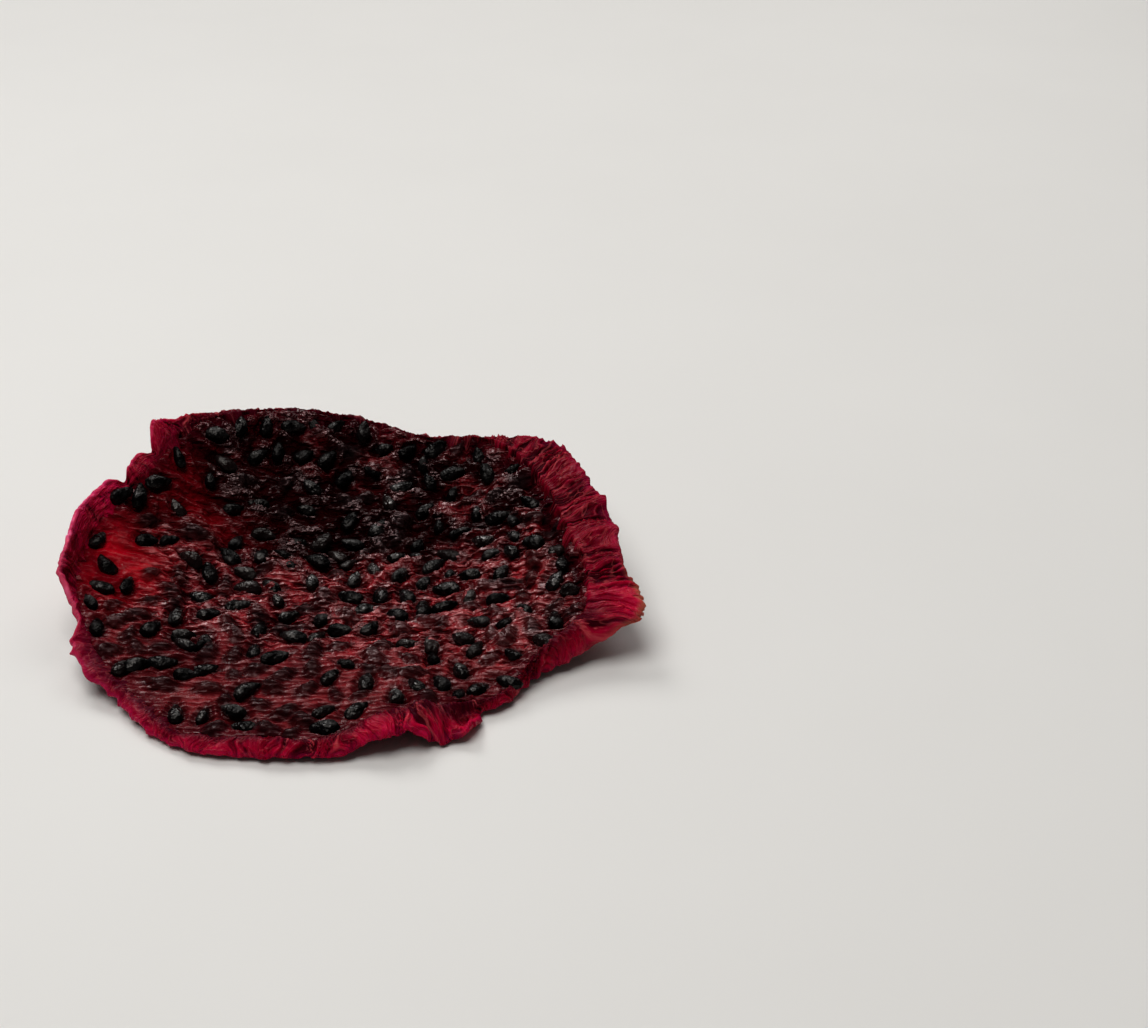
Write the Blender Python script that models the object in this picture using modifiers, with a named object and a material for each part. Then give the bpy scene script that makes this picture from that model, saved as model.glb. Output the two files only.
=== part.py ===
"""A dried slice of red dragon fruit, one piece as it grew: a thin sheet of flesh inside its ribbon of peel.

It lies as it dried. The front half rests flat on the table, and the back has curled up and stiffened there.
The shape is worked out in millimetres round the slice's middle: X to the right, Y to the back, Z up.
"""

import bpy
import numpy as np

MM = 0.001

# Driving dimensions, in millimetres
FLESH_THICKNESS = 1.6
PEEL_THICKNESS = 0.7
FLAT_HEIGHT = 1.4  # top of the flesh where the slice lies on the table: a little is pressed flat below it
BOX_MIDDLE = (0.351, -0.341)  # middle of the slice's bounding box, which becomes the part's origin

# The rim, one row every 15 degrees, anticlockwise from +X:
# radius and height of the flesh's edge, radius and height of the peel's free edge, and how far the peel bulges
RIM = np.array(
    [
        (27.2, 5.9, 31.3, 7.4, 0.3),  # right: a wide brim of peel
        (25.8, 7.0, 31.0, 8.7, 0.3),
        (26.6, 7.7, 31.0, 9.7, 0.3),
        (28.3, 8.4, 33.0, 10.0, 0.2),
        (29.6, 8.9, 30.8, 8.6, 0.3),
        (27.2, 9.0, 28.6, 6.6, 0.6),  # back: the peel hangs down behind the raised edge
        (27.3, 10.8, 28.8, 8.0, 0.6),
        (27.5, 12.5, 28.9, 9.9, 0.6),
        (28.0, 13.6, 29.6, 11.6, 0.6),
        (29.0, 13.4, 30.1, 14.6, 0.3),  # back left: lobes of peel stand up
        (28.0, 11.4, 28.9, 12.8, 0.2),
        (29.6, 8.9, 31.2, 11.4, 0.1),
        (30.6, 6.2, 31.9, 9.8, 0.0),
        (29.4, 4.2, 30.4, 5.2, 0.1),
        (28.8, 2.7, 31.6, 2.9, 0.3),  # left: the rim comes down to the table
        (28.0, 1.6, 30.2, 0.9, 0.3),
        (28.9, 1.5, 30.6, 0.7, 0.3),
        (26.8, 1.7, 29.7, 0.7, 0.4),  # front: a narrow band, rolled outwards
        (26.4, 1.8, 29.4, 0.7, 0.5),
        (23.6, 2.3, 27.9, 1.5, 0.4),
        (24.6, 2.2, 29.1, 1.8, 0.0),
        (25.7, 1.8, 26.5, 0.7, 0.3),
        (25.5, 3.3, 26.4, 1.1, 0.6),  # front right: the peel stands as a low wall
        (27.3, 4.9, 33.9, 4.9, 0.5),  # and turns out into a corner
    ]
)
FLESH_RADIUS, FLESH_HEIGHT, PEEL_RADIUS, PEEL_HEIGHT, PEEL_BULGE = range(5)

# Broad folds of the flesh: middle x and y, direction in degrees, half length, half width, height
FOLDS = (
    (-8.0, 11.5, 4.0, 13.0, 3.0, -0.9),  # a trough at the foot of the raised back
    (-8.0, 17.0, 6.0, 12.0, 2.8, 0.8),  # the step above it
    (13.0, 9.0, 65.0, 9.0, 3.2, -0.5),
    (16.0, -4.0, 75.0, 8.0, 3.6, 0.4),
    (-18.0, -9.0, 150.0, 8.0, 3.4, 0.3),
    (2.0, -14.0, 170.0, 10.0, 3.2, 0.25),
)
CURL_POWER = 2.8  # how late the flesh starts to rise on its way out from the middle

TURN_STEPS = 96
FLESH_RINGS = 12
PEEL_RINGS = 5


def around(column, angle):
    """A column of RIM at any angle, on a smooth closed curve through its rows."""
    rows = RIM[:, column]
    count = len(rows)
    place = angle / (2 * np.pi) * count
    first = np.floor(place).astype(int)
    t = place - first
    a, b, c, d = (rows[(first + step) % count] for step in (-1, 0, 1, 2))
    return b + t / 2 * (c - a + t * (2 * a - 5 * b + 4 * c - d + t * (3 * (b - c) + d - a)))


def fold_height(x, y):
    """The height that the broad folds add."""
    total = np.zeros_like(x)
    for middle_x, middle_y, degrees, half_length, half_width, height in FOLDS:
        cos, sin = np.cos(np.radians(degrees)), np.sin(np.radians(degrees))
        along = (x - middle_x) * cos + (y - middle_y) * sin
        across = (y - middle_y) * cos - (x - middle_x) * sin
        total += height * np.exp(-((along / half_length) ** 2) - (across / half_width) ** 2)
    return total


def top_surface(share, angle):
    """Points on the slice's upper face. A share of 0 is the middle, 1 the flesh's edge, 2 the peel's free edge."""
    inner = np.minimum(share, 1)
    outer = np.maximum(share - 1, 0)
    flesh_radius = around(FLESH_RADIUS, angle)
    rise = around(FLESH_HEIGHT, angle) - FLAT_HEIGHT
    radius = inner * flesh_radius + outer * (around(PEEL_RADIUS, angle) - flesh_radius)
    height = FLAT_HEIGHT + rise * inner**CURL_POWER
    height += outer * (around(PEEL_HEIGHT, angle) - around(FLESH_HEIGHT, angle))
    height += around(PEEL_BULGE, angle) * 4 * outer * (1 - outer)
    x, y = radius * np.cos(angle), radius * np.sin(angle)
    height += fold_height(x, y) * (1 - inner**6)
    return np.stack([x, y, height], axis=-1)


def material(name, colour, roughness):
    made = bpy.data.materials.new(name)
    made.use_nodes = True
    surface = made.node_tree.nodes["Principled BSDF"]
    surface.inputs["Base Color"].default_value = (*colour, 1)
    surface.inputs["Roughness"].default_value = roughness
    surface.inputs["Metallic"].default_value = 0
    return made


def evaluated_mesh(obj):
    """The object's mesh with its modifiers applied. The object itself is removed."""
    bpy.context.view_layer.update()
    graph = bpy.context.evaluated_depsgraph_get()
    mesh = bpy.data.meshes.new_from_object(obj.evaluated_get(graph))
    bpy.data.objects.remove(obj)
    return mesh


def turned_disc(collection):
    """A flat disc of rings. A ring's radius is its share: 0 to 1 is flesh, and 1 to 2 is peel."""
    shares = np.concatenate(
        [np.linspace(0, 1, FLESH_RINGS + 1), np.linspace(1, 2, PEEL_RINGS + 1)[1:]]
    )
    profile = bpy.data.meshes.new("disc_profile")
    points = [(share, 0, 0) for share in shares[::-1]]
    profile.from_pydata(points, [(i, i + 1) for i in range(len(points) - 1)], [])
    disc = bpy.data.objects.new("disc", profile)
    collection.objects.link(disc)
    screw = disc.modifiers.new("Turn", "SCREW")
    screw.steps = screw.render_steps = TURN_STEPS
    screw.use_merge_vertices = True
    screw.merge_threshold = 0.0001
    return evaluated_mesh(disc)


def coordinates(mesh):
    found = np.empty(len(mesh.vertices) * 3)
    mesh.vertices.foreach_get("co", found)
    return found.reshape(-1, 3)


def make_slice(collection):
    """The upper face from the disc, thickened downwards, then pressed flat where it meets the table."""
    mesh = turned_disc(collection)
    flat = coordinates(mesh)
    share = np.hypot(flat[:, 0], flat[:, 1])
    angle = np.arctan2(flat[:, 1], flat[:, 0])
    mesh.vertices.foreach_set("co", (top_surface(share, angle) * MM).ravel())
    mesh.update()
    if sum(face.normal.z for face in mesh.polygons) < 0:
        mesh.flip_normals()

    sheet = bpy.data.objects.new("sheet", mesh)
    collection.objects.link(sheet)
    thick = sheet.vertex_groups.new(name="thickness")
    peel_share = PEEL_THICKNESS / FLESH_THICKNESS
    for index, place in enumerate(share):
        inward = np.clip((1.0 - place) / 0.12, 0, 1)
        thick.add([index], float(peel_share + (1 - peel_share) * inward), "REPLACE")
    solidify = sheet.modifiers.new("Thickness", "SOLIDIFY")
    solidify.thickness = FLESH_THICKNESS * MM
    solidify.offset = -1
    solidify.vertex_group = thick.name

    solid = evaluated_mesh(sheet)
    points = coordinates(solid)
    points[:, 2] = np.maximum(points[:, 2], 0)
    points[:, :2] -= np.array(BOX_MIDDLE) * MM
    solid.vertices.foreach_set("co", points.ravel())
    solid.update()

    solid.materials.clear()
    solid.materials.append(material("dried_flesh", (0.10, 0.006, 0.012), 0.45))
    solid.materials.append(material("dried_peel", (0.36, 0.012, 0.045), 0.5))
    middle = np.array([face.center[:2] for face in solid.polygons]) / MM + BOX_MIDDLE
    peel = np.hypot(*middle.T) > around(FLESH_RADIUS, np.arctan2(middle[:, 1], middle[:, 0]))
    solid.polygons.foreach_set("material_index", peel.astype(int))
    solid.shade_smooth()
    solid.name = "dragon_fruit_slice"
    part = bpy.data.objects.new("dragon_fruit_slice", solid)
    collection.objects.link(part)
    return part


def main():
    for obj in list(bpy.data.objects):
        bpy.data.objects.remove(obj)
    collection = bpy.data.collections.new("dragon_fruit")
    bpy.context.scene.collection.children.link(collection)
    make_slice(collection)


main()
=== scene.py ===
import math

import bpy
import numpy as np
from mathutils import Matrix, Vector


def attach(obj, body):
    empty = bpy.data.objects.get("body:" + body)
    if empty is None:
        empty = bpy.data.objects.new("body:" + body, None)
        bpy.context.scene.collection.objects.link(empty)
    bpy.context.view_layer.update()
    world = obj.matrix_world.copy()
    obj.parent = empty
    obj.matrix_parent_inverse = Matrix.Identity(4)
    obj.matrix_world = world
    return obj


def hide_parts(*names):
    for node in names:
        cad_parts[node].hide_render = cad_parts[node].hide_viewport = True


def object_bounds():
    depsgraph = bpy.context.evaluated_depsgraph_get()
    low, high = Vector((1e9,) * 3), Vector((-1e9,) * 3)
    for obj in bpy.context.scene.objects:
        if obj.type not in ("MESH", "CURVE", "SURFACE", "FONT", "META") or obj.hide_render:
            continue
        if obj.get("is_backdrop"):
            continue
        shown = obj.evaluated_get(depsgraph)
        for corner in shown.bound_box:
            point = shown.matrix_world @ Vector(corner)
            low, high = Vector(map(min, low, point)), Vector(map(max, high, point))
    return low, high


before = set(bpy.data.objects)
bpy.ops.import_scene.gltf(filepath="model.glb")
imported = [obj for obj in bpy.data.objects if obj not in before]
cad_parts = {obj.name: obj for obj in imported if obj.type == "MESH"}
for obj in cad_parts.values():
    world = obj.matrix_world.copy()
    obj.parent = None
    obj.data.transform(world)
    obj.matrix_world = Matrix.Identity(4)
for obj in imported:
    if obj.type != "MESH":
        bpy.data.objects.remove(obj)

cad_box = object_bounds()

# The looks of one dried slice of red dragon fruit: wrinkled flesh, its ribbon of peel, and the seeds in it.
# Lengths are in millimetres round the slice's middle, with X right, Y back and Z up, as in the part.
MM = 0.001
BOX_MIDDLE = (0.351, -0.341)  # where the part's origin is, seen from the slice's middle

# ---------------------------------------------------------------- the part's own shape

FLESH_THICKNESS = 1.6
PEEL_THICKNESS = 0.7
FLAT_HEIGHT = 1.4  # top of the flesh where the slice lies on the table
CURL_POWER = 2.8  # how late the flesh starts to rise on its way out from the middle

# The rim, one row every 15 degrees, anticlockwise from +X: radius and height of the flesh's edge,
# radius and height of the peel's free edge, and how far the peel bulges
RIM = np.array(
    [
        (27.2, 5.9, 31.3, 7.4, 0.3),  # right: a wide brim of peel
        (25.8, 7.0, 31.0, 8.7, 0.3),
        (26.6, 7.7, 31.0, 9.7, 0.3),
        (28.3, 8.4, 33.0, 10.0, 0.2),
        (29.6, 8.9, 30.8, 8.6, 0.3),
        (27.2, 9.0, 28.6, 6.6, 0.6),  # back: the peel hangs down behind the raised edge
        (27.3, 10.8, 28.8, 8.0, 0.6),
        (27.5, 12.5, 28.9, 9.9, 0.6),
        (28.0, 13.6, 29.6, 11.6, 0.6),
        (29.0, 13.4, 30.1, 14.6, 0.3),  # back left: lobes of peel stand up
        (28.0, 11.4, 28.9, 12.8, 0.2),
        (29.6, 8.9, 31.2, 11.4, 0.1),
        (30.6, 6.2, 31.9, 9.8, 0.0),
        (29.4, 4.2, 30.4, 5.2, 0.1),
        (28.8, 2.7, 31.6, 2.9, 0.3),  # left: the rim comes down to the table
        (28.0, 1.6, 30.2, 0.9, 0.3),
        (28.9, 1.5, 30.6, 0.7, 0.3),
        (26.8, 1.7, 29.7, 0.7, 0.4),  # front: a narrow band, rolled outwards
        (26.4, 1.8, 29.4, 0.7, 0.5),
        (23.6, 2.3, 27.9, 1.5, 0.4),
        (24.6, 2.2, 29.1, 1.8, 0.0),
        (25.7, 1.8, 26.5, 0.7, 0.3),
        (25.5, 3.3, 26.4, 1.1, 0.6),  # front right: the peel stands as a low wall
        (27.3, 4.9, 33.9, 4.9, 0.5),  # and turns out into a corner
    ]
)
FLESH_RADIUS, FLESH_HEIGHT, PEEL_RADIUS, PEEL_HEIGHT, PEEL_BULGE = range(5)

# Broad folds of the flesh: middle x and y, direction in degrees, half length, half width, height
FOLDS = (
    (-8.0, 11.5, 4.0, 13.0, 3.0, -0.9),  # a trough at the foot of the raised back
    (-8.0, 17.0, 6.0, 12.0, 2.8, 0.8),  # the step above it
    (13.0, 9.0, 65.0, 9.0, 3.2, -0.5),
    (16.0, -4.0, 75.0, 8.0, 3.6, 0.4),
    (-18.0, -9.0, 150.0, 8.0, 3.4, 0.3),
    (2.0, -14.0, 170.0, 10.0, 3.2, 0.25),
)

# ---------------------------------------------------------------- noise


def lattice(column, row, seed):
    """A repeatable random number from 0 to 1 for each point of a whole-number grid."""
    mixed = (column * 374761393 + row * 668265263 + seed * 144269504) & 0xFFFFFFFF
    mixed = ((mixed ^ (mixed >> 13)) * 1274126177) & 0xFFFFFFFF
    return ((mixed ^ (mixed >> 16)) & 0xFFFFFF) / 0xFFFFFF


def noise(x, y, seed=0):
    """Smooth noise of wavelength about 2, from about -1 to 1."""
    left, low = np.floor(x), np.floor(y)
    u, v = x - left, y - low
    column, row = left.astype(np.int64), low.astype(np.int64)

    def corner(step_x, step_y):
        turn = 2 * np.pi * lattice(column + step_x, row + step_y, seed)
        return np.cos(turn) * (u - step_x) + np.sin(turn) * (v - step_y)

    across = u * u * u * (u * (u * 6 - 15) + 10)
    upward = v * v * v * (v * (v * 6 - 15) + 10)
    bottom = corner(0, 0) * (1 - across) + corner(1, 0) * across
    top = corner(0, 1) * (1 - across) + corner(1, 1) * across
    return 1.5 * (bottom * (1 - upward) + top * upward)


def fractal(x, y, seed=0, octaves=3):
    """Noise with finer and weaker noise added to it."""
    total = 0
    for octave in range(octaves):
        total = total + noise(x * 2**octave, y * 2**octave, seed + octave) / 2**octave
    return total


def creases(x, y, seed=0, octaves=3, sharpness=2):
    """Sharp-crested folds, from 0 in the hollows to about 1 on the crests."""
    bend_x, bend_y = noise(x * 0.7, y * 0.7, seed + 31), noise(x * 0.7, y * 0.7, seed + 32)
    x, y = x + 0.6 * bend_x, y + 0.6 * bend_y
    total, weight = 0, 0
    for octave in range(octaves):
        share = 0.55**octave
        level = np.clip(1 - np.abs(noise(x * 2**octave, y * 2**octave, seed + octave)), 0, 1)
        total = total + share * level**sharpness
        weight += share
    return total / weight


def smooth_step(low, high, value):
    """A smooth rise from 0 at the low value to 1 at the high one, which may also be the smaller."""
    t = np.clip((value - low) / (high - low), 0, 1)
    return t * t * (3 - 2 * t)


def bell(value, middle, half_width):
    """A bump of height 1."""
    return np.exp(-(((value - middle) / half_width) ** 2))


def angle_bell(angle, degrees, half_width):
    """A bump centred on a direction round the rim."""
    away = (np.degrees(angle) - degrees + 180) % 360 - 180
    return np.exp(-((away / half_width) ** 2))


# ---------------------------------------------------------------- the sheet


def around(column, angle):
    """A column of RIM at any angle, on a smooth closed curve through its rows."""
    rows = RIM[:, column]
    count = len(rows)
    place = angle / (2 * np.pi) * count
    first = np.floor(place).astype(int)
    t = place - first
    a, b, c, d = (rows[(first + step) % count] for step in (-1, 0, 1, 2))
    return b + t / 2 * (c - a + t * (2 * a - 5 * b + 4 * c - d + t * (3 * (b - c) + d - a)))


def fold_height(x, y):
    """The height that the broad folds add."""
    total = np.zeros_like(x)
    for middle_x, middle_y, degrees, half_length, half_width, height in FOLDS:
        cos, sin = np.cos(np.radians(degrees)), np.sin(np.radians(degrees))
        along = (x - middle_x) * cos + (y - middle_y) * sin
        across = (y - middle_y) * cos - (x - middle_x) * sin
        total += height * np.exp(-((along / half_length) ** 2) - (across / half_width) ** 2)
    return total


# Finer turns of the rim: direction, half width in degrees, then what they add to each column of RIM
RIM_TURNS = (
    (-16.0, 5.0, 0.3, 0.0, 1.2, 0.2, 0.0),  # the corner
    (-20.5, 4.0, 0.0, 0.0, -1.9, 0.3, 0.0),
    (-22.0, 5.0, 0.0, 0.0, 0.0, -1.3, 0.5),
    (-33.0, 7.0, 0.0, 0.3, 0.0, -0.3, 0.3),  # the low wall
    (-51.5, 2.8, 0.0, 0.0, -1.5, -0.5, 0.0),
    (-57.5, 4.0, 0.0, 0.3, -0.9, 0.2, -1.7),  # a lip that flares up round a pocket
    (-65.0, 2.6, -0.6, 0.8, -0.5, -0.9, 1.0),  # the pleat beside it
    (-64.5, 5.0, 0.0, 0.0, 0.0, -0.6, 0.0),
    (-71.0, 3.0, 0.0, 0.3, 0.0, 1.4, 0.1),  # an arch off the table, highest next to the pleat
    (-78.0, 5.5, 0.0, 0.4, -0.2, 0.9, 0.2),
    (-95.0, 14.0, 0.0, 0.0, -0.9, 0.1, 0.0),
    (142.8, 3.8, 0.0, 0.0, 1.8, 0.9, 0.0),  # a tab and two lobes on the left
    (147.3, 1.2, 0.0, 0.0, -0.3, -1.0, 0.0),
    (150.8, 2.6, 0.0, 0.0, 1.5, -0.3, 0.0),
    (157.5, 1.6, 0.0, 0.0, -0.5, -1.2, 0.0),
    (176.0, 11.0, 0.0, 0.0, -0.9, 0.1, 0.0),
    (187.0, 3.0, 0.0, 0.0, 0.5, 0.3, 0.0),
    (196.0, 2.5, 0.0, 0.0, -0.5, -0.2, 0.0),
    (203.0, 3.0, 0.0, 0.0, 0.5, 0.1, 0.0),
    (217.0, 7.0, 0.0, 0.0, -0.8, 0.0, 0.0),
)


def rim(column, angle):
    """A column of RIM at any angle, with the finer turns."""
    value = around(column, angle)
    for turn in RIM_TURNS:
        value = value + turn[2 + column] * angle_bell(angle, turn[0], turn[1])
    return value


def sheet(share, angle):
    """Points on the upper face. A share of 0 is the middle, 1 the flesh's edge, 2 the peel's free edge."""
    inner = np.minimum(share, 1)
    outer = np.maximum(share - 1, 0)
    flesh_radius, flesh_height = rim(FLESH_RADIUS, angle), rim(FLESH_HEIGHT, angle)
    radius = inner * flesh_radius + outer * (rim(PEEL_RADIUS, angle) - flesh_radius)
    height = FLAT_HEIGHT + (flesh_height - FLAT_HEIGHT) * inner**CURL_POWER
    height += outer * (rim(PEEL_HEIGHT, angle) - flesh_height)
    height += rim(PEEL_BULGE, angle) * 4 * outer * (1 - outer)
    x, y = radius * np.cos(angle), radius * np.sin(angle)
    height += fold_height(x, y) * (1 - inner**6)
    groove = 0.9 * bell(share, 0.95, 0.03)
    height -= brim(angle) * groove
    return np.stack([x, y, height], axis=-1)


def brim(angle):
    """The right side, where the peel is a wide brim with a bead along its inner border."""
    return smooth_step(-22, 0, deg(angle)) * smooth_step(72, 55, deg(angle))


def deg(angle):
    """Degrees from -180 to 180."""
    return (np.degrees(angle) + 180) % 360 - 180


def unit(vectors):
    return vectors / np.linalg.norm(vectors, axis=-1, keepdims=True)


def sheet_frame(share, angle):
    """Points on the sheet, and its upward normals there."""
    step = 1e-3
    here = sheet(share, angle)
    outward = sheet(share + step, angle) - sheet(np.maximum(share - step, 0), angle)
    onward = sheet(share, angle + step) - sheet(share, angle - step)
    normal = np.cross(outward, onward)
    flat = np.linalg.norm(normal, axis=-1) < 1e-9
    normal[flat] = (0, 0, 1)
    return here, unit(normal)


# ---------------------------------------------------------------- seeds

SEED_LENGTH, SEED_WIDTH, SEED_DEPTH = 3.0, 1.7, 1.3
UPPER_SEEDS = 240
LOWER_SEEDS = 200  # where the slice lies on the table these are pressed in and left out
MOST_TRIES = 20000

# Seeds that stand out: x, y, direction in degrees, and 1 for bare or 0 for one under a film of flesh
MARKED_SEEDS = (
    (-29.0, 4.2, 70, 1),
    (-27.8, 1.4, 140, 1),
    (-27.6, -1.9, 170, 1),
    (-25.0, -0.9, 80, 1),
    (-26.8, -8.6, 100, 1),
    (-27.3, 10.0, 60, 1),
    (-24.2, 8.6, 10, 0),
    (-24.0, 6.2, 15, 1),
    (-19.0, 9.0, 5, 0),
    (-18.8, 5.3, 150, 1),
    (-16.8, -0.4, 165, 1),
    (-20.5, 0.2, 150, 0),
    (-15.4, -3.4, 20, 1),
    (-12.6, 4.6, 160, 1),
    (-9.4, 2.8, 140, 1),
    (-0.1, 0.8, 155, 1),
    (3.4, 1.6, 90, 1),
    (6.4, 1.2, 120, 1),
    (-23.0, -5.5, 10, 0),
    (-19.0, -4.5, 90, 1),
    (-12.5, -1.5, 30, 1),
    (-17.5, -8.0, 15, 1),
    (-17.0, -10.0, 150, 1),
    (-15.0, -9.0, 90, 1),
    (-11.5, -11.0, 80, 0),
    (-9.5, -6.0, 85, 1),
    (-9.5, -10.0, 90, 1),
    (-5.5, -7.5, 160, 1),
    (-7.0, -11.5, 30, 1),
    (-23.0, -14.5, 60, 1),
    (-21.5, -14.0, 30, 1),
    (-16.0, -15.0, 0, 1),
    (-14.0, -14.0, 20, 1),
    (-18.5, -16.5, 170, 0),
    (-16.0, -21.5, 100, 1),
    (-13.0, -22.0, 80, 1),
    (-10.0, -21.5, 150, 1),
    (-8.5, -24.0, 170, 1),
    (0.0, -24.5, 170, 1),
    (-0.5, -21.5, 40, 1),
    (-0.5, -15.5, 60, 1),
    (-0.5, -6.0, 10, 1),
    (3.0, -5.5, 60, 1),
    (5.5, -2.5, 150, 1),
    (8.5, -1.5, 100, 1),
    (11.0, -1.5, 20, 1),
    (13.5, 4.0, 165, 1),
    (15.0, -6.0, 165, 1),
    (17.0, -1.5, 10, 1),
    (23.5, 0.0, 60, 1),
    (25.5, -2.0, 20, 1),
    (10.0, -9.0, 100, 1),
    (15.0, -11.0, 60, 1),
    (19.0, -12.5, 130, 1),
    (18.5, -16.5, 150, 1),
    (3.5, -16.5, 90, 1),
    (9.0, -18.0, 120, 1),
    (7.0, -20.0, 100, 1),
    (13.5, -19.0, 80, 1),
    (15.5, -17.5, 40, 1),
    (18.0, 21.0, 20, 1),
    (19.0, 18.5, 30, 0),
    (20.5, 14.5, 150, 1),
    (23.5, 8.5, 20, 0),
    (21.0, 7.0, 150, 1),
    (21.5, 11.0, 10, 0),
    (21.0, 4.0, 100, 0),
    (23.5, -7.5, 100, 1),
    (16.5, 14.0, 0, 1),
    (16.0, 7.5, 10, 1),
    (-17.5, 21.0, 0, 1),
    (-15.0, 22.5, 100, 1),
    (-10.5, 21.5, 100, 1),
    (-7.5, 22.0, 40, 1),
    (-2.5, 20.5, 65, 1),
    (4.5, 20.0, 30, 1),
    (-0.5, 26.0, 95, 1),
    (8.5, 25.0, 50, 1),
    (7.5, 17.0, 50, 1),
    (12.0, 13.0, 20, 1),
    (-1.5, 15.0, 70, 1),
    (2.0, 14.5, 65, 1),
    (-4.5, 12.0, 60, 1),
    (-1.0, 12.0, 160, 1),
    (-11.5, 12.0, 0, 1),
    (-14.0, 17.0, 0, 0),
)


def scatter_seeds(wanted, marked, seed):
    """Rows of share, angle, direction, bare or not, and size, spread over the flesh in loose clumps.

    The marked ones come first. Among them, at the front, most of the others are covered.
    """
    random = np.random.default_rng(seed)
    places, rows = [], []
    for x, y, direction, bare in marked:
        angle = math.atan2(y, x)
        share = math.hypot(x, y) / float(rim(FLESH_RADIUS, np.array(angle)))
        places.append((x, y))
        rows.append((share, angle, math.radians(direction), bare, random.uniform(0.9, 1.15)))
    outermost = 0.965 if marked else 0.90
    tries = 0
    while len(rows) < wanted and tries < MOST_TRIES:
        tries += 1
        angle = random.uniform(0, 2 * math.pi)
        share = outermost * math.sqrt(random.uniform())
        direction, size = random.uniform(0, math.pi), random.uniform(0.75, 1.12)
        radius = share * float(rim(FLESH_RADIUS, np.array(angle)))
        x, y = radius * math.cos(angle), radius * math.sin(angle)
        bare_chance = 0.4 if marked and y < 2 else 0.78
        bare = float(random.uniform() < bare_chance)
        luck = random.uniform()
        crowd = float(noise(np.array(x / 7.0), np.array(y / 7.0), seed + 3))
        apart = 2.3 + 0.8 * luck**2 - 0.5 * crowd + 0.2 * bare
        nearest = min((math.hypot(x - a, y - b) for a, b in places), default=math.inf)
        thinnest = 0.35 if x < -21 else 0.12
        too_thin = marked and float(thinness(np.array(x), np.array(y))) > thinnest
        if too_thin or nearest < apart:
            continue
        places.append((x, y))
        rows.append((share, angle, direction, bare, size))
    return np.array(rows)


def seed_axes(rows, side):
    """Where each seed lies on the sheet, and its three axes. The side is 1 above and -1 underneath."""
    share, angle, direction = rows[:, 0], rows[:, 1], rows[:, 2]
    here, normal = sheet_frame(share, angle)
    normal = normal * side
    level = np.stack([np.cos(direction), np.sin(direction), np.zeros_like(direction)], axis=-1)
    along = unit(level - normal * np.sum(level * normal, axis=-1, keepdims=True))
    return here, along, np.cross(normal, along), normal


# ---------------------------------------------------------------- flesh

FLESH_GRID = 281  # points along each side of the upper face's grid
LOWER_GRID = 141  # the same below: every second point of the upper border meets one of these
EDGE_DROP = 0.25  # how far the upper face turns down at its edge
EDGE_THICKNESS = 0.42
LEAST_THICKNESS = 0.3
LEAST_HEIGHT = 0.45  # of the upper face, where the slice lies on the table


def disc_grid(count):
    """Share and angle of a square grid of points drawn evenly onto a disc, row by row."""
    line = np.linspace(-1, 1, count)
    a, b = np.meshgrid(line, line)
    wide = np.abs(a) > np.abs(b)
    ratio = np.where(wide, b / np.where(a == 0, 1, a), a / np.where(b == 0, 1, b))
    radius = np.where(wide, a, b)
    turn = np.where(wide, np.pi / 4 * ratio, np.pi / 2 - np.pi / 4 * ratio)
    x, y = radius * np.cos(turn), radius * np.sin(turn)
    return np.hypot(x, y).ravel(), np.arctan2(y, x).ravel()


def grid_faces(count):
    """The grid's squares, anticlockwise from above."""
    start = (np.arange(count - 1)[:, None] * count + np.arange(count - 1)[None, :]).ravel()
    return np.stack([start, start + 1, start + count + 1, start + count], axis=-1)


def grid_border(count):
    """The grid's border points, anticlockwise."""
    side = np.arange(count - 1)
    low, high = side, side + (count - 1) * count
    return np.concatenate([low, side * count + count - 1, (high + 1)[::-1], (side + 1)[::-1] * count])


def points_by_seed(points, rows, side):
    """For each seed, the points near it, and how far they are from its middle, where 1 is its outline."""
    reach = 3.2
    here, along, across, _ = seed_axes(rows, side)
    for row, middle, forward, sideways in zip(rows, here, along, across):
        near = np.flatnonzero(np.sum((points - middle) ** 2, axis=-1) < reach**2)
        offset = points[near] - middle
        a = offset @ forward / (row[4] * SEED_LENGTH / 2)
        taper = 1 - 0.25 * np.clip(a, -1, 1)
        b = offset @ sideways / (row[4] * SEED_WIDTH / 2 * taper)
        yield row, near, np.sqrt(a * a + b * b)


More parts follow.
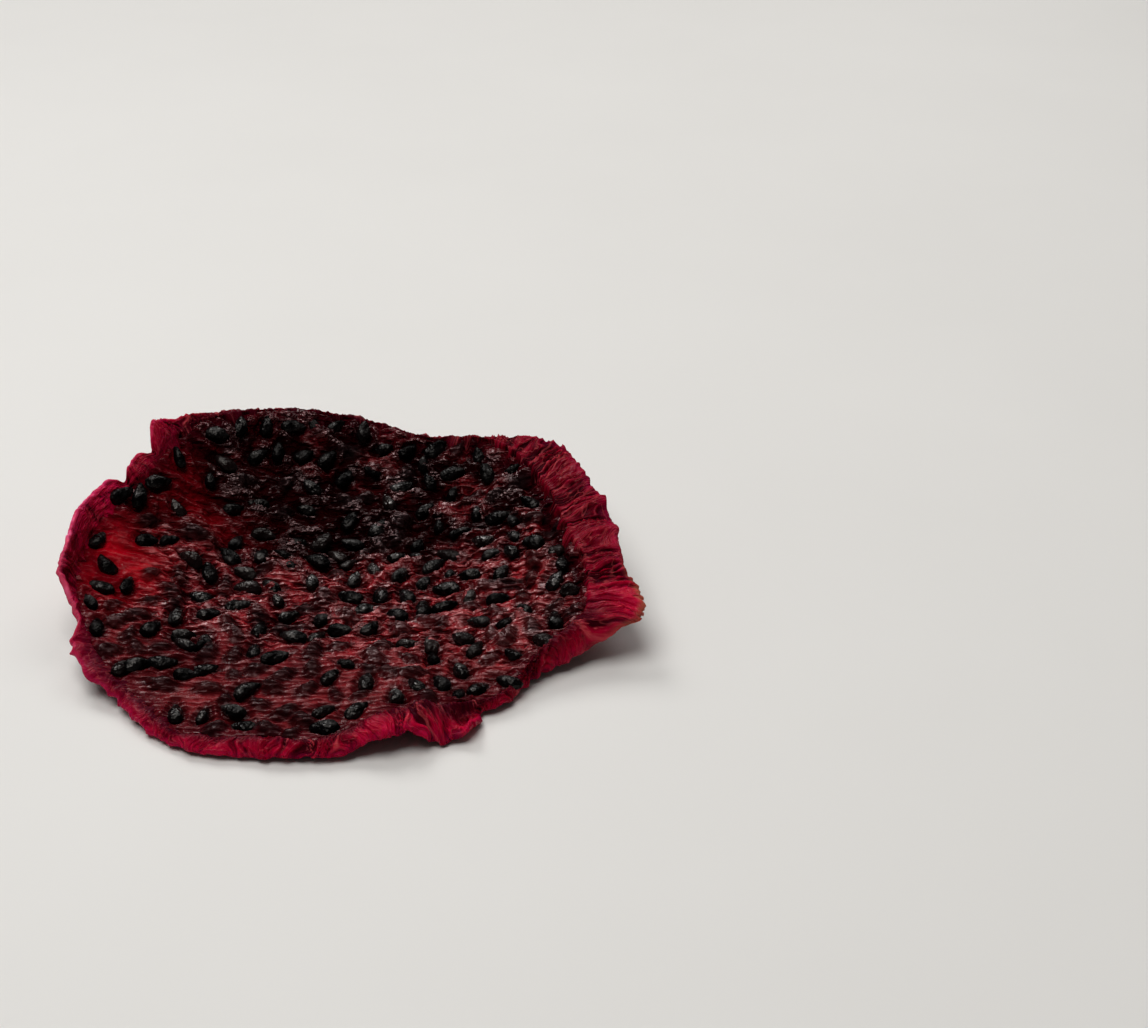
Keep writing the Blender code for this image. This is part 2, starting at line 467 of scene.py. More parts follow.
def flesh_relief(points, rows, side, seed):
    """How far the flesh stands out from the smooth sheet, and its colour fields.

    Lumps, folds and wrinkles run from left to right. Each bare seed sits in a pocket with a raised border,
    and every seed has a ring of painted shade round it.
    """
    x, y = points[:, 0], points[:, 1]
    lumps = 0.60 * fractal(x / 5.4, y / 3.0, seed + 1, 2)
    folds = 0.70 * (0.45 - creases(x / 5.0, y / 2.1, seed + 5, 2, 3))
    crinkle = 0.4 - creases(x / 2.6, y / 0.9, seed + 9, 2, 3)
    calm = smooth_step(0.1, 0.9, fractal(x / 9, y / 9, seed + 15, 2))
    knobs = 0.45 * fractal(x / 2.4, y / 1.7, seed + 19, 2) * smooth_step(5, 10, y)
    front = smooth_step(-7, -15, y + 0.2 * x)
    level = (1 - 0.75 * thinness(x, y)) * (1 - 0.45 * front)
    height = (lumps + folds + knobs + 0.42 * crinkle * (1 - 0.6 * calm)) * level
    film = np.zeros_like(height)
    shade = np.zeros_like(height)
    relief = 0.62 + 0.65 * folds + 0.40 * lumps + 0.6 * crinkle + 0.5 * knobs
    relief += (0.56 - relief) * 0.80 * front
    for row, near, away in points_by_seed(points, rows, side):
        _, _, _, bare, size = row
        if bare:
            height[near] -= 0.22 * bell(away, 1.0, 0.45)
            height[near] += 0.14 * bell(away, 1.75, 0.35)
            shade_width = 0.62
        else:
            height[near] += 0.60 * size * np.exp(-1.3 * away**5)
            film[near] = np.maximum(film[near], np.exp(-0.9 * away**6))
            shade_width = 0.40
        shade[near] = np.maximum(shade[near], bell(away, 1.1, shade_width))
    return height, {"calm": front, "relief": relief, "film": film, "shade": shade}


def ragged_disc(count):
    """A disc's grid as shares and angles, and its points and normals on the sheet, with a ragged edge."""
    share, angle = disc_grid(count)
    ragged = 1.0 + 0.012 * fractal(9 * np.cos(angle), 9 * np.sin(angle), 71)
    here, normal = sheet_frame(share * ragged, angle)
    return share, angle, here, normal


def upper_face(seeds):
    """Points of the flesh's upper face, and their colour fields."""
    share, angle, here, normal = ragged_disc(FLESH_GRID)
    height, fields = flesh_relief(here, seeds, 1, 100)
    edge = smooth_step(0.985, 1.0, share)
    points = here + normal * (height * (1 - edge) - EDGE_DROP * edge)[:, None]
    points[:, 2] = np.maximum(points[:, 2], LEAST_HEIGHT)
    painted_groove_shade = brim(angle) * bell(share, 0.955, 0.035)  # painted shade in the groove along the brim
    fields["rim"] = smooth_step(0.9, 1.0, share)
    fields["thin"] = thinness(here[:, 0], here[:, 1])
    fields["dark"] = np.maximum(darkness_and_shade(here[:, 0], here[:, 1]), painted_groove_shade)
    return points, fields


def lower_face(seeds):
    """Points of the flesh's lower face, which thins out towards its edge, and their colour fields."""
    share, _, here, normal = ragged_disc(LOWER_GRID)
    depth, fields = flesh_relief(here, seeds, -1, 300)
    taper = smooth_step(0.88, 1.0, share)
    down = FLESH_THICKNESS * (1 - taper) + EDGE_THICKNESS * taper + depth * (1 - taper)
    points = here - normal * np.maximum(down, LEAST_THICKNESS)[:, None]
    points[:, 2] = np.maximum(points[:, 2], 0.0)
    fields["rim"] = taper
    fields["thin"] = thinness(here[:, 0], here[:, 1])
    fields["dark"] = darkness_and_shade(here[:, 0], here[:, 1])
    return points, fields


def closed_flesh(upper_seeds, lower_seeds):
    """The flesh as one closed mesh: a fine upper face, a coarser lower face, and the strip between them."""
    upper, upper_fields = upper_face(upper_seeds)
    lower, lower_fields = lower_face(lower_seeds)
    faces = list(map(tuple, grid_faces(FLESH_GRID)))
    faces += list(map(tuple, grid_faces(LOWER_GRID)[:, ::-1] + len(upper)))
    outer, inner = grid_border(FLESH_GRID), grid_border(LOWER_GRID) + len(upper)
    for k in range(len(inner)):
        first, middle, last = outer[2 * k], outer[2 * k + 1], outer[(2 * k + 2) % len(outer)]
        below, after = inner[k], inner[(k + 1) % len(inner)]
        faces += [(below, middle, first), (below, after, middle), (after, last, middle)]
    fields = {name: np.concatenate([upper_fields[name], lower_fields[name]]) for name in upper_fields}
    return np.concatenate([upper, lower]), faces, fields


def thinness(x, y):
    """Where the flesh has dried to a thin skin; its colour there is painted as light shining through."""
    left = np.exp(-(((x + 27.2) / 4.2) ** 2) - ((y - 2.0) / 5.8) ** 2)
    step = 0.22 * np.exp(-(((x + 17) / 7.0) ** 2) - ((y - 11.5) / 2.6) ** 2)
    behind = 0.4 * np.exp(-(((x + 22.0) / 3.0) ** 2) - ((y - 15.0) / 3.5) ** 2)
    return np.clip(left + step + behind, 0, 1)


def darkness_and_shade(x, y):
    """Where the flesh is painted almost black: painted shade in the trough behind the middle fold, and darker
    towards the back and in patches there.
    """
    painted_hollow_shade = np.exp(-(((x + 7) / 13.0) ** 2) - ((y - 13.0) / 5.0) ** 2)
    patches = smooth_step(-0.15, 0.4, fractal(x / 5.0, y / 4.0, 731, 2))
    back = smooth_step(7, 12, y) * (1 - 0.25 * smooth_step(0, 14, x)) * (0.66 + 0.34 * patches)
    return np.clip(painted_hollow_shade + back + 0.5 * patches * smooth_step(1, 10, y), 0, 1) * (1 - 0.6 * thinness(x, y))


# ---------------------------------------------------------------- peel

PEEL_STEPS = 1100  # points round the ribbon
PEEL_STRIPS = 24  # points across it
PEEL_RING = 29  # radius of the circle along which its noise is laid out
TUCKED = -0.22  # where the ribbon starts, under the flesh: 0 is the flesh's edge and 1 the free edge

# Pale crests across the peel: direction in degrees, how far they slant on the way out, and strength
CREASES = (
    (-66.8, 2.0, 0.9),
    (-63.2, -1.5, 0.7),
    (-56.0, 1.0, 0.6),
    (-46.0, 3.0, 0.5),
    (-35.0, -4.0, 0.6),
    (-30.0, -6.0, 0.8),
    (-27.5, -6.0, 0.7),
    (-19.0, 3.0, 0.5),
    (-12.0, -2.0, 0.4),
    (3.0, 3.0, 0.6),
    (9.0, -2.0, 0.7),
    (14.0, 2.0, 0.5),
    (22.0, 4.0, 0.8),
    (29.0, -3.0, 0.7),
    (37.0, 4.0, 0.9),
    (44.0, 2.0, 0.8),
    (52.0, 5.0, 0.7),
    (140.0, 2.0, 0.5),
    (160.0, -3.0, 0.6),
    (192.0, 2.0, 0.4),
    (214.0, 3.0, 0.4),
    (243.0, -3.0, 0.4),
    (262.0, 3.0, 0.4),
)


def ring(angle):
    """Where a direction lies on the circle along which the peel's noise is laid out."""
    return PEEL_RING * np.cos(angle), PEEL_RING * np.sin(angle)


def frayed(angle):
    """Where the peel's edge has torn into a dry fringe."""
    return np.maximum(angle_bell(angle, -11, 8), 0.25 * angle_bell(angle, 190, 14))


def flat_film(angle):
    """Front left, where the peel has dried to a smooth flat film with a jagged edge."""
    return angle_bell(angle, 213, 24)


def lobed(angle):
    """Back left, where the peel stands up in lobes with a grain instead of pleats."""
    return angle_bell(angle, 166, 20)


def peel_share(angle, place):
    """The sheet's share at each place across the ribbon, whose borders wander and whose free edge is torn."""
    x, y = ring(angle)
    reach = 1 + 0.10 * fractal(x / 2.6, y / 2.6, 501, 4)
    torn = np.maximum(frayed(angle), 0.55 * angle_bell(angle, 186, 20))
    reach -= 0.12 * creases(x / 0.9, y / 0.9, 507, 2) * torn
    reach += 0.26 * (creases(x / 2.6, y / 2.6, 509, 1, 3) - 0.5) * flat_film(angle)
    border = 0.032 * fractal(x / 1.7, y / 1.7, 503, 2) * (1 - np.clip(place, 0, 1))
    return 1 + border + place * np.where(place < 0, 0.22, reach)


def peel_wrinkles(x, y, place):
    """Pleats, waves, fine pleats and grain. All change quickly along the ribbon and slowly across it."""
    broad_pleat = creases(x / 1.9, y / 1.9 + 0.3 * place, 521, 1, 4)
    small_pleat = creases(x, y + 0.4 * place, 523, 1, 4)
    wave = fractal(x / 3.6, y / 3.6 + 0.5 * place, 531, 2)
    fine = creases(x / 0.8, y / 0.8 + 0.7 * place, 541, 1, 6)
    finest = creases(x / 0.45, y / 0.45 + 0.9 * place, 543, 1, 6)
    grain = creases(x / 3.0, 2.6 * place + y / 3.0, 545, 2, 4)
    return np.maximum(broad_pleat, 0.7 * small_pleat), wave, np.maximum(fine, 0.8 * finest), grain


def pale_crests(angle, place):
    """The lines of CREASES, fading in from the flesh outwards."""
    crests = np.zeros_like(angle)
    for direction, sway, strength in CREASES:
        wander = direction + sway * (place - 0.5) + 1.2 * noise(place * 3 + direction, 0 * place, 571)
        crests = np.maximum(crests, strength * angle_bell(angle - np.radians(wander), 0, 0.7))
    return crests * smooth_step(0.0, 0.15, place)


def pleat_room(angle, place):
    """How far pleats can rise: not at all under the flesh, and little where the ribbon is narrow."""
    flesh_edge, free_edge = np.full_like(angle, 1.0), np.full_like(angle, 2.0)
    width = np.linalg.norm(sheet(free_edge, angle) - sheet(flesh_edge, angle), axis=-1)
    return smooth_step(-0.05, 0.4, place) * np.clip(width / 3.5, 0.35, 1)


def painted_light_on_peel(angle):
    """Stretches painted clearer pink, as light shining through the peel, on the right and along the front."""
    bright = angle_bell(angle, -9, 9) + 0.3 * angle_bell(angle, -62, 12)
    bright += 0.35 * angle_bell(angle, -95, 24) + 0.3 * angle_bell(angle, -130, 20)
    return np.clip(bright, 0, 1)


def peel_ribbon():
    """The peel as one closed ribbon: its upper face outwards, round the free edge, and back underneath."""
    turn = np.arange(PEEL_STEPS) / PEEL_STEPS * 2 * np.pi
    across = np.linspace(TUCKED, 1, PEEL_STRIPS)
    angle, place = map(np.ravel, np.meshgrid(turn, across, indexing="ij"))
    here, normal = sheet_frame(peel_share(angle, place), angle)
    soft, lobes = flat_film(angle), lobed(angle)

    ring_x, ring_y = ring(angle)
    lean = 0.07 * noise(ring_x / 2.5, ring_y / 2.5 + place, 511) * np.clip(place, 0, 1)
    x, y = ring(angle + lean)
    pleat, wave, fine, grain = peel_wrinkles(x, y, place)
    crests = pale_crests(angle, place)
    gathered = smooth_step(-0.5, 0.5, fractal(ring_x / 7, ring_y / 7, 515, 2))
    folded = (0.35 + 0.65 * gathered) * (1 - 0.8 * lobes) * (1 - 0.75 * soft)
    bulk = 0.95 * (pleat - 0.4) * folded + 0.40 * wave + 0.30 * lobes * (grain - 0.4)
    bulk = pleat_room(angle, place) * bulk
    crumple = fractal(here[:, 0] / 1.3, here[:, 1] / 1.3, 551, 2)
    bulk += 0.12 * crumple * smooth_step(-0.1, 0.1, place)
    bulk += 0.40 * brim(angle) * bell(place, 0.05, 0.07)
    bulk += 0.35 * crests
    skin = 0.16 * (fine - 0.3) * (1 - lobes) * (1 - 0.6 * soft)

    tuck = 0.8 * smooth_step(0.06, -0.2, place)
    edge = np.sqrt(np.clip(1 - np.clip((place - 0.8) / 0.2, 0, 1) ** 2, 0.02, 1))
    half = PEEL_THICKNESS / 2 * (0.25 + 0.75 * edge)
    centre = here + normal * (bulk - PEEL_THICKNESS / 2 - tuck)[:, None]
    top = centre + normal * (half + skin)[:, None]
    bottom = centre - normal * (half - 0.6 * skin)[:, None]
    bottom[:, 2] = np.maximum(bottom[:, 2], 0.0)
    top[:, 2] = np.maximum(top[:, 2], bottom[:, 2] + 0.2)

    crest = 0.5 + 0.6 * (pleat - 0.4) + 0.25 * wave + 0.3 * (fine - 0.4) + 0.5 * lobes * (grain - 0.4)
    pale = smooth_step(0.0, 0.6, fractal(ring_x / 2.2, ring_y / 2.2, 561, 2))
    line = np.maximum(np.maximum(fine * (1 - lobes), pleat) * pale, crests)
    leaf = angle_bell(angle, 171, 26)  # the long leaf of peel on the left
    fields = {
        "crest": np.clip(crest, 0, 1),
        "line": line * (1 - 0.8 * soft),
        "soft": soft,
        "edge": smooth_step(0.72, 1.0, place),
        "fray": frayed(angle) * smooth_step(0.84, 1.0, place),
        "magenta": 0.35 * smooth_step(-5, -25, here[:, 0]) + 0.65 * leaf,
        "glow": smooth_step(0.90, 1.0, place) * smooth_step(-26, -30, here[:, 0]) * (0.3 + 0.7 * pale),
        "inner": smooth_step(0.85, 0.1, place) * (1 - brim(angle)) * (1 - leaf),
        "ribbon": np.stack([x, y, 3.0 * place], axis=-1),
        "lobes": lobes,
        "brim": brim(angle),
        "bright": painted_light_on_peel(angle),
    }
    joined = {name: np.concatenate([field, field]) for name, field in fields.items()}
    return np.concatenate([top, bottom]), ribbon_faces(), joined


def ribbon_faces():
    """The squares of the ribbon's upper and lower faces, and the strips that close its two edges."""
    here = np.arange(PEEL_STEPS) * PEEL_STRIPS
    after = np.roll(here, -1)
    below = PEEL_STEPS * PEEL_STRIPS
    faces = []
    for strip in range(PEEL_STRIPS - 1):
        a, b = here + strip, after + strip
        faces += list(zip(a, a + 1, b + 1, b))
        faces += list(zip(b + below, b + 1 + below, a + 1 + below, a + below))
    last, last_after = here + PEEL_STRIPS - 1, after + PEEL_STRIPS - 1
    faces += list(zip(last, last + below, last_after + below, last_after))
    faces += list(zip(here + below, here, after, after + below))
    return faces


# ---------------------------------------------------------------- seeds as meshes


def seed_shape(turns=14, rings=9):
    """A teardrop on a unit scale: points from -1 to 1 along it, and its faces."""
    points, faces = [(-1, 0, 0)], []
    for ring in range(1, rings):
        slope = math.pi * ring / rings
        along = -math.cos(slope)
        width = math.sin(slope) ** 0.9 * (1 - 0.28 * along - 0.10 * along * along)
        for k in range(turns):
            turn = 2 * math.pi * k / turns
            points.append((along, width * math.cos(turn), width * math.sin(turn)))
    points.append((1, 0, 0))
    last = len(points) - 1
    for k in range(turns):
        after = (k + 1) % turns
        faces.append((0, 1 + after, 1 + k))
        base = 1 + (rings - 2) * turns
        faces.append((last, base + k, base + after))
        for ring in range(rings - 2):
            a, b = 1 + ring * turns, 1 + (ring + 1) * turns
            faces.append((a + k, a + after, b + after, b + k))
    return np.array(points), faces


def seed_bodies(upper_rows, lower_rows):
    """All the bare seeds, each a dented and slightly bent teardrop sunk into the flesh, and their tones."""
    shape, shape_faces = seed_shape()
    random = np.random.default_rng(17)
    points, faces, tones = [], [], []
    for rows, side in ((upper_rows, 1), (lower_rows, -1)):
        rows = rows[rows[:, 3] > 0.5]
        here, along, across, normal = seed_axes(rows, side)
        for k in range(len(rows)):
            size = rows[k, 4]
            dent = 1 + 0.12 * fractal(shape[:, 0] * 2 + k, shape[:, 1] * 2 + shape[:, 2], 601, 2)
            body = shape * dent[:, None] * (SEED_LENGTH / 2, SEED_WIDTH / 2, SEED_DEPTH / 2) * size
            body[:, 1] += 0.12 * random.normal() * (body[:, 0] / 1.4) ** 2
            lift = random.uniform(-0.25, 0.20) if side > 0 else 0.05
            roll = random.normal() * 0.35
            sideways = across[k] * math.cos(roll) + normal[k] * math.sin(roll)
            upward = normal[k] * math.cos(roll) - across[k] * math.sin(roll)
            surface = here[k] if side > 0 else here[k] + normal[k] * FLESH_THICKNESS
            placed = surface + normal[k] * lift
            placed = placed + body[:, :1] * along[k] + body[:, 1:2] * sideways + body[:, 2:3] * upward
            if side < 0 and placed[:, 2].min() < 0.0:
                continue
            start = len(points) * len(shape)
            faces += [tuple(start + corner for corner in face) for face in shape_faces]
            points.append(placed)
            tones.append(np.full(len(placed), random.uniform()))
    return np.concatenate(points), faces, {"tone": np.concatenate(tones)}


# ---------------------------------------------------------------- objects


def make_object(name, points, faces, fields, material):
    """An object from points in millimetres, with its fields stored on the points for the material."""
    mesh = bpy.data.meshes.new(name)
    points = points.copy()
    points[:, :2] -= BOX_MIDDLE
    mesh.from_pydata((points * MM).tolist(), [], [tuple(map(int, face)) for face in faces])
    for field, values in fields.items():
        values = np.asarray(values, np.float32)
        kind, key = ("FLOAT_VECTOR", "vector") if values.ndim > 1 else ("FLOAT", "value")
        attribute = mesh.attributes.new(field, kind, "POINT")
        attribute.data.foreach_set(key, values.ravel())
    mesh.validate()
    mesh.shade_smooth()
    mesh.materials.append(material)
    made = bpy.data.objects.new(name, mesh)
    bpy.context.scene.collection.objects.link(made)
    return made


# ---------------------------------------------------------------- materials


class Nodes:
    """A short way to write a material's nodes. A value is a number, a colour or another node's output."""

    def __init__(self, name):
        self.material = bpy.data.materials.new(name)
        self.material.use_nodes = True
        self.tree = self.material.node_tree
        self.surface = self.tree.nodes["Principled BSDF"]

    def add(self, kind):
        return self.tree.nodes.new("ShaderNode" + kind)

    def put(self, value, socket):
        """Sets a socket to a constant, or links it to another node's output."""
        if isinstance(value, (int, float, tuple)):
            socket.default_value = value
        else:
            self.tree.links.new(value, socket)

    def give(self, name, value):
        """Puts a value on one of the surface's own inputs."""
        self.put(value, self.surface.inputs[name])

    def attribute(self, name, output="Fac"):
        node = self.add("Attribute")
        node.attribute_name = name
        return node.outputs[output]

    def attributes(self, *names):
        return [self.attribute(name) for name in names]

    def stretched(self, place, stretch):
        """Where a texture lies, scaled along each axis."""
        node = self.add("Mapping")
        node.inputs["Scale"].default_value = stretch
        self.put(place, node.inputs["Vector"])
        return node.outputs["Vector"]

    def on_object(self, stretch):
        return self.stretched(self.add("TexCoord").outputs["Object"], stretch)

    def noise_at(self, place, scale, detail, roughness):
        node = self.add("TexNoise")
        node.inputs["Scale"].default_value = scale
        node.inputs["Detail"].default_value = detail
        node.inputs["Roughness"].default_value = roughness
        self.put(place, node.inputs["Vector"])
        return node.outputs["Fac"]

    def noise(self, scale, detail=4, roughness=0.6, stretch=(1, 1, 1)):
        return self.noise_at(self.on_object(stretch), scale, detail, roughness)

    def ribbon_noise(self, along, across, detail=2):
        """Noise on the peel, in cells per millimetre along the rim and across the ribbon."""
        place = self.stretched(self.attribute("ribbon", "Vector"), (along, along, across))
        return self.noise_at(place, 1.0, detail, 0.5)

    def wrinkles(self, scale, distortion, detail_scale, stretch):
        """Wavy lines that run along X."""
        node = self.add("TexWave")
        node.bands_direction = "Y"
        node.inputs["Scale"].default_value = scale
        node.inputs["Distortion"].default_value = distortion
        node.inputs["Detail"].default_value = 3
        node.inputs["Detail Scale"].default_value = detail_scale
        self.put(self.on_object(stretch), node.inputs["Vector"])
        return node.outputs["Fac"]

    def ramp(self, value, *stops):
        """A colour ramp from stops of a position and a colour, or a position and a grey level."""
        node = self.add("ValToRGB")
        elements = node.color_ramp.elements
        while len(elements) < len(stops):
            elements.new(0.5)
        for element, (position, colour) in zip(elements, stops):
            element.position = position
            element.color = (*colour, 1) if isinstance(colour, tuple) else (colour, colour, colour, 1)
        self.put(value, node.inputs["Fac"])
        return node.outputs["Color"]

    def fade(self, value, least):
        """1 where the value is 0, falling to the least where it is 1."""
        return self.ramp(value, (0.0, 1.0), (1.0, least))

    def mix(self, share, first, second):
        node = self.add("Mix")
        node.data_type = "RGBA"
        self.put(share, node.inputs[0])
        # the colour sockets come after those for numbers and vectors, which have the same names
        for colour, socket in ((first, node.inputs[6]), (second, node.inputs[7])):
            self.put((*colour, 1) if isinstance(colour, tuple) else colour, socket)
        return node.outputs[2]

    def tint(self, base, amount, field, colour):
        """The base with a colour mixed in where the field says, up to the amount."""
        return self.mix(self.times(field, amount), base, colour)

    def math(self, operation, first, second):
        node = self.add("Math")
        node.operation = operation
        self.put(first, node.inputs[0])
        self.put(second, node.inputs[1])
        return node.outputs[0]

    def times(self, first, second):
        return self.math("MULTIPLY", first, second)

    def plus(self, first, second):
        return self.math("ADD", first, second)

    def larger(self, first, second):
        return self.math("MAXIMUM", first, second)

    def bump(self, height, distance, strength=1.0):
        node = self.add("Bump")
        node.inputs["Distance"].default_value = distance
        self.put(strength, node.inputs["Strength"])
        self.put(height, node.inputs["Height"])
        self.give("Normal", node.outputs["Normal"])


def flesh_material():
    nodes = Nodes("dried_flesh")
    relief, film, shade, thin = nodes.attributes("relief", "film", "shade", "thin")
    edge, dark, calm = nodes.attributes("rim", "dark", "calm")
    blotch = nodes.noise(170, 5, 0.6)
    wrinkles = nodes.wrinkles(400, 6.0, 1.1, (0.45, 1.0, 1.0))
    grain = nodes.noise(2300, 1, 0.5, (0.40, 1.3, 1.0))
    patch = nodes.ramp(nodes.noise(75, 2, 0.5), (0.42, 0.0), (0.58, 1.0))
    skin = nodes.plus(nodes.times(wrinkles, 0.42), nodes.times(grain, 0.58))
    ups = nodes.plus(nodes.times(relief, 0.45), nodes.times(skin, 0.55))
    ups = nodes.plus(ups, nodes.times(patch, 0.08))

    dull_red, red, bright_red = (0.10, 0.003, 0.006), (0.24, 0.007, 0.012), (0.40, 0.014, 0.022)
    base = nodes.ramp(blotch, (0.3, dull_red), (0.5, red), (0.7, bright_red))
    # painted highlight: the highest crests of the relief and wrinkles are painted pale pink, standing in for
    # glints
    pale = nodes.times(nodes.ramp(ups, (0.61, 0.0), (0.72, 0.6)), nodes.fade(calm, 0.65))
    base = nodes.mix(pale, base, (0.43, 0.095, 0.098))
    base = nodes.tint(base, 0.5, calm, (0.085, 0.013, 0.015))
    # painted shade: where the relief and wrinkles lie lowest, the flesh is painted nearly black
    painted_hollow_shade = nodes.times(nodes.ramp(ups, (0.43, 0.95), (0.55, 0.0)), nodes.fade(calm, 0.65))
    base = nodes.mix(painted_hollow_shade, base, (0.040, 0.0004, 0.0016))
    # painted shade round each seed
    base = nodes.tint(base, 0.8, shade, (0.014, 0.0003, 0.0010))
    # painted shade behind the middle fold and in the groove along the brim, and darker towards the back: the
    # flesh is painted nearly black there
    base = nodes.tint(base, 0.97, dark, (0.007, 0.0002, 0.0005))
    # painted glow: where the flesh is thin it is painted bright red, as light shining through it
    painted_glow = nodes.ramp(blotch, (0.40, (0.15, 0.0004, 0.004)), (0.60, (0.44, 0.0005, 0.008)))
    base = nodes.mix(nodes.ramp(thin, (0.05, 0.0), (0.6, 0.88)), base, painted_glow)
    base = nodes.tint(base, 0.6, edge, (0.05, 0.0008, 0.005))
    film_colour = nodes.ramp(grain, (0.4, (0.003, 0.0012, 0.0014)), (0.65, (0.015, 0.0075, 0.008)))
    base = nodes.tint(base, 0.90, film, film_colour)
    nodes.give("Base Color", base)

    nodes.give("Roughness", nodes.ramp(nodes.noise(900, 3, 0.6), (0.3, 0.12), (0.7, 0.30)))
    gloss = nodes.ramp(ups, (0.50, 0.05), (0.74, 0.80))
    gloss = nodes.times(gloss, nodes.ramp(thin, (0.0, 1.0), (0.5, 0.10)))
    # in the dark flesh only the highest crests shine
    tops = nodes.ramp(relief, (0.50, 0.04), (0.85, 1.5))
    gloss = nodes.times(gloss, nodes.mix(dark, (1.0, 1.0, 1.0), tops))
    gloss = nodes.times(gloss, nodes.fade(film, 0.5))
    gloss = nodes.times(gloss, nodes.fade(calm, 0.45))
    nodes.give("Specular IOR Level", gloss)
    nodes.give("Specular Tint", (1.0, 0.62, 0.62, 1))
    nodes.give("Subsurface Weight", 0.1)
    nodes.give("Subsurface Radius", (1.0, 0.08, 0.05))
    nodes.give("Subsurface Scale", 0.001)
    smooth = nodes.larger(thin, nodes.times(film, 0.9))
    smooth = nodes.larger(smooth, nodes.times(calm, 0.55))
    nodes.bump(skin, 0.0009, nodes.math("SUBTRACT", 1.0, nodes.times(smooth, 0.75)))
    return nodes.material


def peel_material():
    nodes = Nodes("dried_peel")
    crest, line, edge, inner = nodes.attributes("crest", "line", "edge", "inner")
    fray, magenta, glow, bright = nodes.attributes("fray", "magenta", "glow", "bright")
    soft, brim_side, lobes = nodes.attributes("soft", "brim", "lobes")
    blotch = nodes.noise(220, 5, 0.65)
    grain = nodes.noise(1100, 4, 0.6)
    pleats = nodes.mix(lobes, nodes.ribbon_noise(1.5, 0.35), nodes.ribbon_noise(0.25, 2.2))
    fine = nodes.mix(lobes, nodes.ribbon_noise(3.2, 0.9, 1), nodes.ribbon_noise(0.9, 5.0, 1))
    threads = nodes.ramp(nodes.ribbon_noise(0.8, 0.5), (0.470, 0.0), (0.5, 1.0), (0.530, 0.0))
    threads = nodes.times(threads, nodes.ramp(brim_side, (0.0, 0.18), (1.0, 0.34)))
    valley = nodes.plus(nodes.times(crest, 0.55), nodes.times(pleats, 0.35))
    valley = nodes.plus(valley, nodes.times(fine, 0.25))
    # painted shade: the brim's valleys are painted darker still
    valley = nodes.math("SUBTRACT", valley, nodes.times(brim_side, 0.08))
    valley = nodes.plus(valley, nodes.times(lobes, 0.07))

    dark_crimson, crimson, light_crimson = (0.16, 0.0004, 0.006), (0.30, 0.0009, 0.015), (0.46, 0.002, 0.030)
    dark_pink, pink, light_pink = (0.30, 0.0008, 0.014), (0.48, 0.002, 0.035), (0.70, 0.006, 0.075)
    crimsons = nodes.ramp(blotch, (0.3, dark_crimson), (0.5, crimson), (0.7, light_crimson))
    pinks = nodes.ramp(blotch, (0.3, dark_pink), (0.5, pink), (0.7, light_pink))
    base = nodes.mix(magenta, crimsons, pinks)
    # painted light: clearer pink where light would shine through the peel
    base = nodes.tint(base, 0.70, bright, (0.66, 0.001, 0.040))
    # painted shade: the right brim is painted darker
    base = nodes.tint(base, 0.46, brim_side, (0.10, 0.001, 0.008))
    base = nodes.tint(base, 0.68, soft, (0.12, 0.001, 0.015))
    # painted shade: the valleys between the pleats are painted nearly black
    painted_valley_shade = nodes.times(nodes.ramp(valley, (0.45, 0.96), (0.65, 0.0)), nodes.fade(soft, 0.3))
    base = nodes.mix(painted_valley_shade, base, (0.018, 0.0002, 0.002))
    base = nodes.tint(base, 0.92, inner, (0.035, 0.0006, 0.005))
    lines = nodes.larger(nodes.ramp(line, (0.62, 0.0), (1.0, 0.65)), threads)
    base = nodes.mix(lines, base, (0.68, 0.09, 0.10))
    base = nodes.tint(base, 0.3, edge, (0.50, 0.006, 0.07))
    base = nodes.tint(base, 0.7, nodes.times(edge, magenta), (0.76, 0.032, 0.14))
    # painted glow: the torn left edge of the peel is painted pale pink, as light shining through it
    base = nodes.tint(base, 0.8, glow, (0.86, 0.12, 0.30))
    base = nodes.tint(base, 0.8, fray, (0.42, 0.14, 0.07))
    nodes.give("Base Color", base)

    nodes.give("Roughness", nodes.ramp(nodes.noise(1200, 3), (0.3, 0.26), (0.7, 0.46)))
    nodes.give("Specular IOR Level", nodes.ramp(valley, (0.50, 0.01), (0.80, 0.13)))
    nodes.give("Specular Tint", (1.0, 0.28, 0.42, 1))
    nodes.give("Subsurface Weight", 0.3)
    nodes.give("Subsurface Radius", (1.0, 0.05, 0.12))
    nodes.give("Subsurface Scale", 0.0012)
    height = nodes.plus(pleats, nodes.times(fine, 0.6))
    raised = nodes.plus(nodes.times(threads, 3.0), grain)
    height = nodes.plus(height, nodes.times(raised, 0.25))
    nodes.bump(height, 0.0006, nodes.fade(soft, 0.4))
    return nodes.material


def seed_material():
    nodes = Nodes("seed_coat")
    tone = nodes.attribute("tone")
    speck = nodes.noise(600, 3, 0.6)
    black = nodes.ramp(speck, (0.35, (0.0005, 0.0004, 0.0005)), (0.7, (0.0025, 0.002, 0.0025)))
    brownest = nodes.ramp(tone, (0.75, 0.0), (1.0, 0.8))
    nodes.give("Base Color", nodes.mix(brownest, black, (0.009, 0.004, 0.004)))
    nodes.give("Roughness", nodes.ramp(nodes.noise(500, 2), (0.38, 0.10), (0.62, 0.42)))
    gloss = nodes.ramp(speck, (0.42, 0.05), (0.64, 0.5))
    nodes.give("Specular IOR Level", nodes.times(gloss, nodes.ramp(tone, (0.1, 0.35), (0.8, 1.0))))
    nodes.give("Specular Tint", (1.0, 0.92, 0.85, 1))
    nodes.bump(nodes.noise(520, 3, 0.55), 0.0010)
    return nodes.material


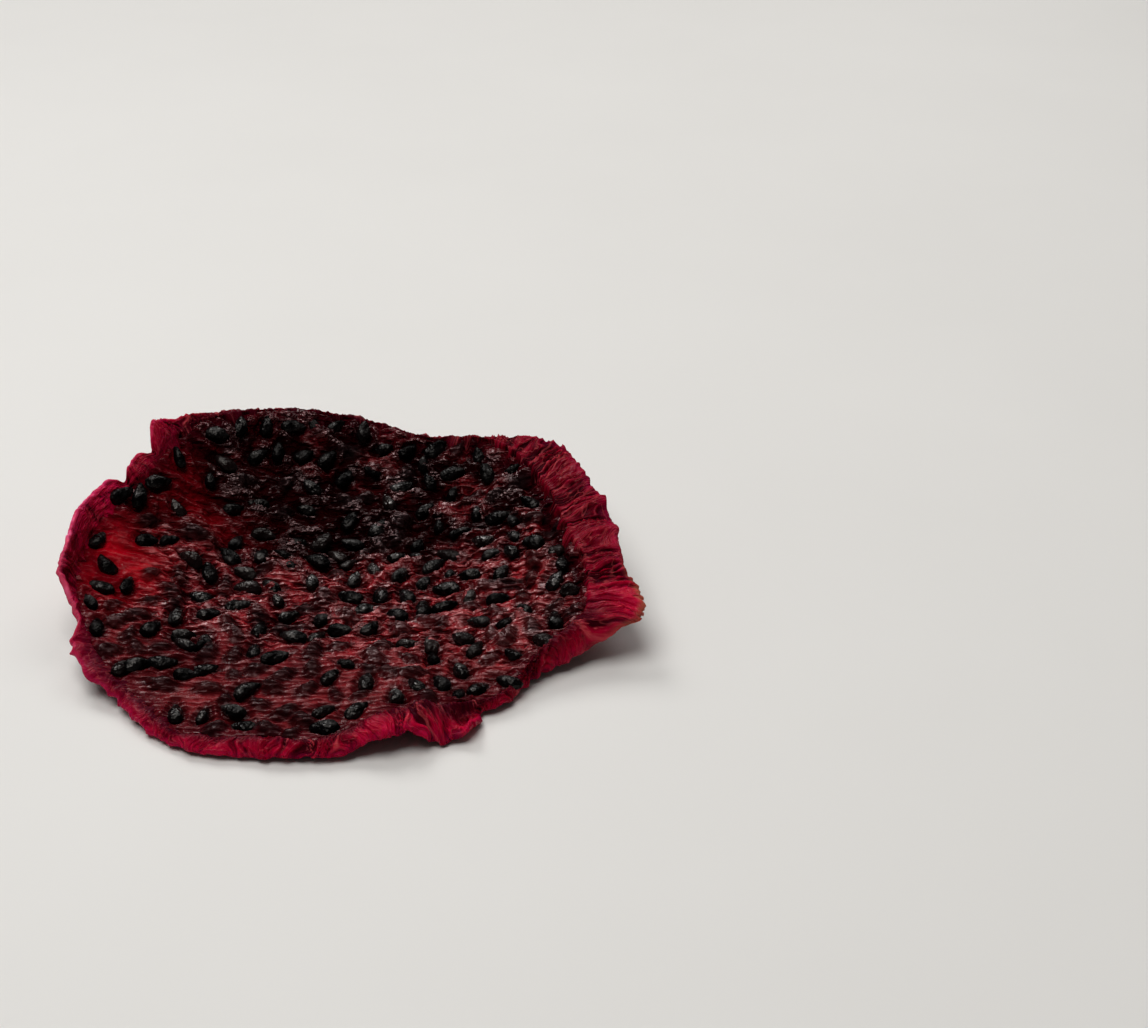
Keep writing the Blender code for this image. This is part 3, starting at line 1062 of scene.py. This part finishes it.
def floor_material():
    nodes = Nodes("pale_floor")
    darker, lighter = (0.765, 0.745, 0.71), (0.785, 0.765, 0.73)
    nodes.give("Base Color", nodes.ramp(nodes.noise(14, 3), (0.3, darker), (0.7, lighter)))
    nodes.give("Roughness", 0.6)
    return nodes.material


# ---------------------------------------------------------------- build

upper_seeds = scatter_seeds(UPPER_SEEDS, MARKED_SEEDS, 11)
lower_seeds = scatter_seeds(LOWER_SEEDS, (), 23)

flesh = make_object("flesh", *closed_flesh(upper_seeds, lower_seeds), flesh_material())
peel = make_object("peel", *peel_ribbon(), peel_material())
seeds = make_object("seeds", *seed_bodies(upper_seeds, lower_seeds), seed_material())

for piece, slot in ((flesh, "flesh"), (peel, "peel"), (seeds, "seed")):
    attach(piece, "root")
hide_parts("dragon_fruit_slice")

# ---------------------------------------------------------------- floor, light, camera

# metres, as Blender has them
FLOOR_SIZE = 3.0
FLOOR_LEVEL = -0.00002  # just under the slice
# millimetres again
CAMERA_PLACE = (25.7, -178.6, 116.1)
CAMERA_DOWN = 30  # degrees below the horizontal
LENS, SENSOR_WIDTH = 58, 36


def add_floor():
    bpy.ops.mesh.primitive_plane_add(size=FLOOR_SIZE, location=(0, 0, FLOOR_LEVEL))
    floor = bpy.context.object
    floor.name = "floor"
    floor.data.materials.append(floor_material())
    floor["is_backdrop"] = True


def add_light(name, place, aim, size, energy):
    """A square lamp, with its place, aim and size in metres and its energy in watts."""
    data = bpy.data.lights.new(name, "AREA")
    data.shape = "SQUARE"
    data.size = size
    data.energy = energy
    lamp = bpy.data.objects.new(name, data)
    bpy.context.scene.collection.objects.link(lamp)
    lamp.location = place
    lamp.rotation_euler = Vector(np.subtract(aim, place)).to_track_quat("-Z", "Y").to_euler()


def add_world(strength):
    world = bpy.data.worlds.new("studio")
    bpy.context.scene.world = world
    world.use_nodes = True
    background = world.node_tree.nodes["Background"]
    background.inputs["Color"].default_value = (1.0, 0.99, 0.97, 1)
    background.inputs["Strength"].default_value = strength


def add_camera():
    data = bpy.data.cameras.new("camera")
    data.sensor_width = SENSOR_WIDTH
    data.lens = LENS
    data.clip_start = 0.01
    camera = bpy.data.objects.new("camera", data)
    bpy.context.scene.collection.objects.link(camera)
    x, y, height = CAMERA_PLACE
    camera.location = ((x - BOX_MIDDLE[0]) * MM, (y - BOX_MIDDLE[1]) * MM, height * MM)
    camera.rotation_euler = (math.radians(90 - CAMERA_DOWN), 0, 0)
    bpy.context.scene.camera = camera


add_camera()
add_floor()
add_light("overhead", place=(-0.11, -0.05, 0.52), aim=(0, 0, 0), size=0.40, energy=1.84)
add_light("back", place=(-0.45, 0.92, 0.85), aim=(0, 0, 0), size=0.50, energy=6.2)
add_light("far right", place=(0.14, 0.34, 0.36), aim=(0.12, 0.22, 0), size=0.30, energy=0.52)
add_world(0.06)
bpy.context.scene.view_settings.view_transform = "Standard"

box = lambda corners: [list(map(float, corner)) for corner in corners]
{"cad": box(cad_box), "visual": box(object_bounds())}
